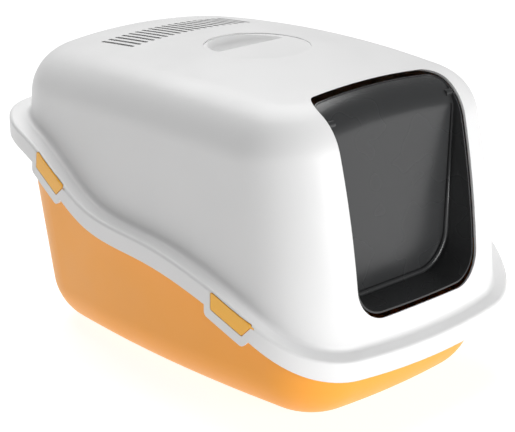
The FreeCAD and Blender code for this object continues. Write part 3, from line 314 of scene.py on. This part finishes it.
class OBJECT_OT_litter_box_tray(bpy.types.Operator):
    """Finish the tray in orange satin plastic"""
    bl_idname = "object.litter_box_tray"
    bl_label = "Tray"

    def execute(self, context):
        looks = context.scene.litter_box_plastics
        dress("tray", satin_plastic("tray_orange", looks.tray_color, SATIN, looks))
        return {"FINISHED"}


class OBJECT_OT_litter_box_clips(bpy.types.Operator):
    """Finish the four swinging clips, a shade glossier than the tray, in a lighter orange that paints
    light on them
    """
    bl_idname = "object.litter_box_clips"
    bl_label = "Clips"

    def execute(self, context):
        looks = context.scene.litter_box_plastics
        orange = satin_plastic("clip_orange", looks.clip_color_with_painted_light, CLIP_GLOSS, looks)
        for name in sorted(NODES):
            if name.startswith("clip_"):
                dress(name, orange)
        return {"FINISHED"}


def fold_path(low, high, ribs):
    """Line of the flap's fold: down one side, round two corners, across the foot and up again."""
    half = (high.x - low.x) / 2 - PIN_REACH - ribs.rib_inset
    foot_half = half - SIDE_SPREAD
    depth = low.y + ribs.panel_front
    foot, head = low.z + ribs.rib_foot, high.z - ribs.rib_head
    line = bmesh.new()
    corners = [line.verts.new(place) for place in (
        (-half, depth, head), (-foot_half, depth, foot), (foot_half, depth, foot), (half, depth, head))]
    for start, end in zip(corners, corners[1:]):
        line.edges.new((start, end))
    bmesh.ops.bevel(line, geom=corners[1:3], offset=ribs.rib_corner, offset_type="OFFSET",
                    segments=RIB_CORNER_STEPS, profile=0.5, affect="VERTICES", material=-1)
    line.verts.ensure_lookup_table()
    here, came_from = next(v for v in line.verts if len(v.link_edges) == 1 and v.co.x < 0), None
    points = []
    while here is not None:
        points.append(here.co.copy())
        steps = [edge for edge in here.link_edges if edge is not came_from]
        came_from = steps[0] if steps else None
        here = came_from.other_vert(here) if came_from else None
    line.free()
    return points


class OBJECT_OT_litter_box_flap(bpy.types.Operator):
    """Finish the flap in smoked plastic and lay the rounded rib along its fold"""
    bl_idname = "object.litter_box_flap"
    bl_label = "Flap"

    def execute(self, context):
        scene = context.scene
        looks, ribs = scene.litter_box_plastics, scene.litter_box_flap
        smoke = satin_plastic("flap_smoke", looks.flap_color, FLAP_GLOSS, looks)
        dress("door_flap", smoke)
        points = fold_path(*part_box("door_flap"), ribs)
        path = bpy.data.curves.new("flap_rib_path", "CURVE")
        path.dimensions = "3D"
        path.bevel_depth = ribs.rib_radius
        path.bevel_resolution = 5
        path.use_fill_caps = True
        spline = path.splines.new("POLY")
        spline.points.add(len(points) - 1)
        for target, place in zip(spline.points, points):
            target.co = (*place, 1.0)
        spline.points[0].radius = spline.points[-1].radius = RIB_END_TAPER
        holder = bpy.data.objects.new("flap_rib_path", path)
        mesh = bpy.data.meshes.new_from_object(holder)
        mesh.name = "flap_rib"
        bpy.data.objects.remove(holder)
        form = bmesh.new()
        form.from_mesh(mesh)
        bmesh.ops.remove_doubles(form, verts=form.verts, dist=WELD_DISTANCE)
        bpy.data.meshes.remove(mesh)
        new_piece("flap_rib", mesh_from(form, "flap_rib"), smoke, "door_flap")
        return {"FINISHED"}


class OBJECT_OT_litter_box_filter(bpy.types.Operator):
    """Make the carbon foam that lies under the vents and finish its slotted cover"""
    bl_idname = "object.litter_box_filter"
    bl_label = "Filter"

    def execute(self, context):
        foam, looks = context.scene.litter_box_foam, context.scene.litter_box_plastics
        cover_white = satin_plastic("filter_cover_white", looks.cover_color, COVER_SATIN, looks)
        dress("filter_cover", cover_white)
        low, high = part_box("filter_pad")
        size, centre = high - low, (low + high) / 2
        form = bmesh.new()
        bmesh.ops.create_cube(form, size=1.0)
        bmesh.ops.scale(form, vec=(size.x, size.y, size.z - 2 * foam.crown), verts=form.verts)
        bmesh.ops.bevel(form, geom=form.edges[:], offset=foam.edge_radius, offset_type="OFFSET",
                        segments=3, profile=0.5, affect="EDGES", material=-1)
        bmesh.ops.subdivide_edges(form, edges=form.edges[:], cuts=5, use_grid_fill=True)
        for vertex in form.verts:
            swell = (1 - (2 * vertex.co.x / size.x) ** 4) * (1 - (2 * vertex.co.y / size.y) ** 4)
            vertex.co.z += math.copysign(foam.crown * max(swell, 0.0), vertex.co.z)
        bmesh.ops.translate(form, vec=centre, verts=form.verts)
        material = carbon_foam("filter_carbon", foam.color, foam.cell_size)
        mesh = mesh_from(form, "filter_foam")
        pad = new_piece("filter_foam", mesh, material, "filter_cover")
        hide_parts("filter_pad")
        return {"FINISHED"}


def look_at(obj, place, target):
    obj.matrix_world = Matrix.LocRotScale(place, (target - place).to_track_quat("-Z", "Y"), None)


def soft_box(name, place, target, size, power):
    """Rectangular studio light that faces the box."""
    lamp = bpy.data.lights.new(name, "AREA")
    lamp.shape = "RECTANGLE"
    lamp.size, lamp.size_y = size
    lamp.energy = power
    light = bpy.data.objects.new(name, lamp)
    bpy.context.scene.collection.objects.link(light)
    look_at(light, Vector(place), Vector(target))
    return light


class SCENE_OT_litter_box_stage(bpy.types.Operator):
    """Set up the floor, the soft studio light and the camera"""
    bl_idname = "scene.litter_box_stage"
    bl_label = "Stage"

    def execute(self, context):
        scene = context.scene
        stage = scene.litter_box_stage
        target = Vector(stage.target)
        back = Vector((math.sin(stage.azimuth) * math.cos(stage.elevation),
                       -math.cos(stage.azimuth) * math.cos(stage.elevation),
                       math.sin(stage.elevation)))
        lens = bpy.data.cameras.new("camera")
        lens.lens = stage.lens
        lens.sensor_width = 36.0
        lens.sensor_fit = "HORIZONTAL"
        camera = bpy.data.objects.new("camera", lens)
        scene.collection.objects.link(camera)
        look_at(camera, target + back * stage.distance, target)
        scene.camera = camera

        mesh = bpy.data.meshes.new("floor")
        ground = bmesh.new()
        bmesh.ops.create_grid(ground, x_segments=1, y_segments=1, size=8.0)
        ground.to_mesh(mesh)
        ground.free()
        floor = bpy.data.objects.new("floor", mesh)
        scene.collection.objects.link(floor)
        material, tree, shader = new_material("floor_white")
        shader.inputs["Base Color"].default_value = (0.4, 0.4, 0.4, 1.0)
        shader.inputs["Roughness"].default_value = 0.9
        shader.inputs["Emission Color"].default_value = (1.0, 1.0, 1.0, 1.0)
        shader.inputs["Emission Strength"].default_value = 0.86
        mesh.materials.append(material)

        world = bpy.data.worlds.new("studio")
        world.use_nodes = True
        world.node_tree.nodes["Background"].inputs["Color"].default_value = (1.0, 1.0, 1.0, 1.0)
        world.node_tree.nodes["Background"].inputs["Strength"].default_value = 0.16
        scene.world = world
        soft_box("overhead", (0.35, 0.80, 2.3), (0.0, 0.0, 0.3), (2.0, 2.0), 56.0)
        soft_box("front_key", (0.3, -2.5, 0.42), (0.0, 0.0, 0.3), (1.6, 0.6), 40.0)
        scene.view_settings.view_transform = "Standard"
        scene.view_settings.look = "None"
        return {"FINISHED"}


class VIEW3D_PT_litter_box(bpy.types.Panel):
    """Lists the steps that dress the litter box"""
    bl_idname = "VIEW3D_PT_litter_box"
    bl_label = "Litter Box"
    bl_space_type = "VIEW_3D"
    bl_region_type = "UI"
    bl_category = "Litter Box"

    def draw(self, context):
        for step in STEPS:
            self.layout.operator(step.bl_idname)


SETTINGS = {
    "litter_box_plastics": LitterBoxPlastics,
    "litter_box_flap": LitterBoxFlap,
    "litter_box_foam": LitterBoxFoam,
    "litter_box_stage": LitterBoxStage,
}
STEPS = (
    OBJECT_OT_litter_box_hood,
    OBJECT_OT_litter_box_tray,
    OBJECT_OT_litter_box_clips,
    OBJECT_OT_litter_box_flap,
    OBJECT_OT_litter_box_filter,
    SCENE_OT_litter_box_stage,
)


def register():
    for group in SETTINGS.values():
        bpy.utils.register_class(group)
    for name, group in SETTINGS.items():
        setattr(bpy.types.Scene, name, bpy.props.PointerProperty(type=group))
    for step in STEPS:
        bpy.utils.register_class(step)
    bpy.utils.register_class(VIEW3D_PT_litter_box)


def unregister():
    bpy.utils.unregister_class(VIEW3D_PT_litter_box)
    for step in reversed(STEPS):
        bpy.utils.unregister_class(step)
    for name in SETTINGS:
        delattr(bpy.types.Scene, name)
    for group in reversed(list(SETTINGS.values())):
        bpy.utils.unregister_class(group)


def main():
    register()
    bpy.ops.object.litter_box_hood()
    bpy.ops.object.litter_box_tray()
    bpy.ops.object.litter_box_clips()
    bpy.ops.object.litter_box_flap()
    bpy.ops.object.litter_box_filter()
    bpy.ops.scene.litter_box_stage()


if __name__ == "__main__":
    main()
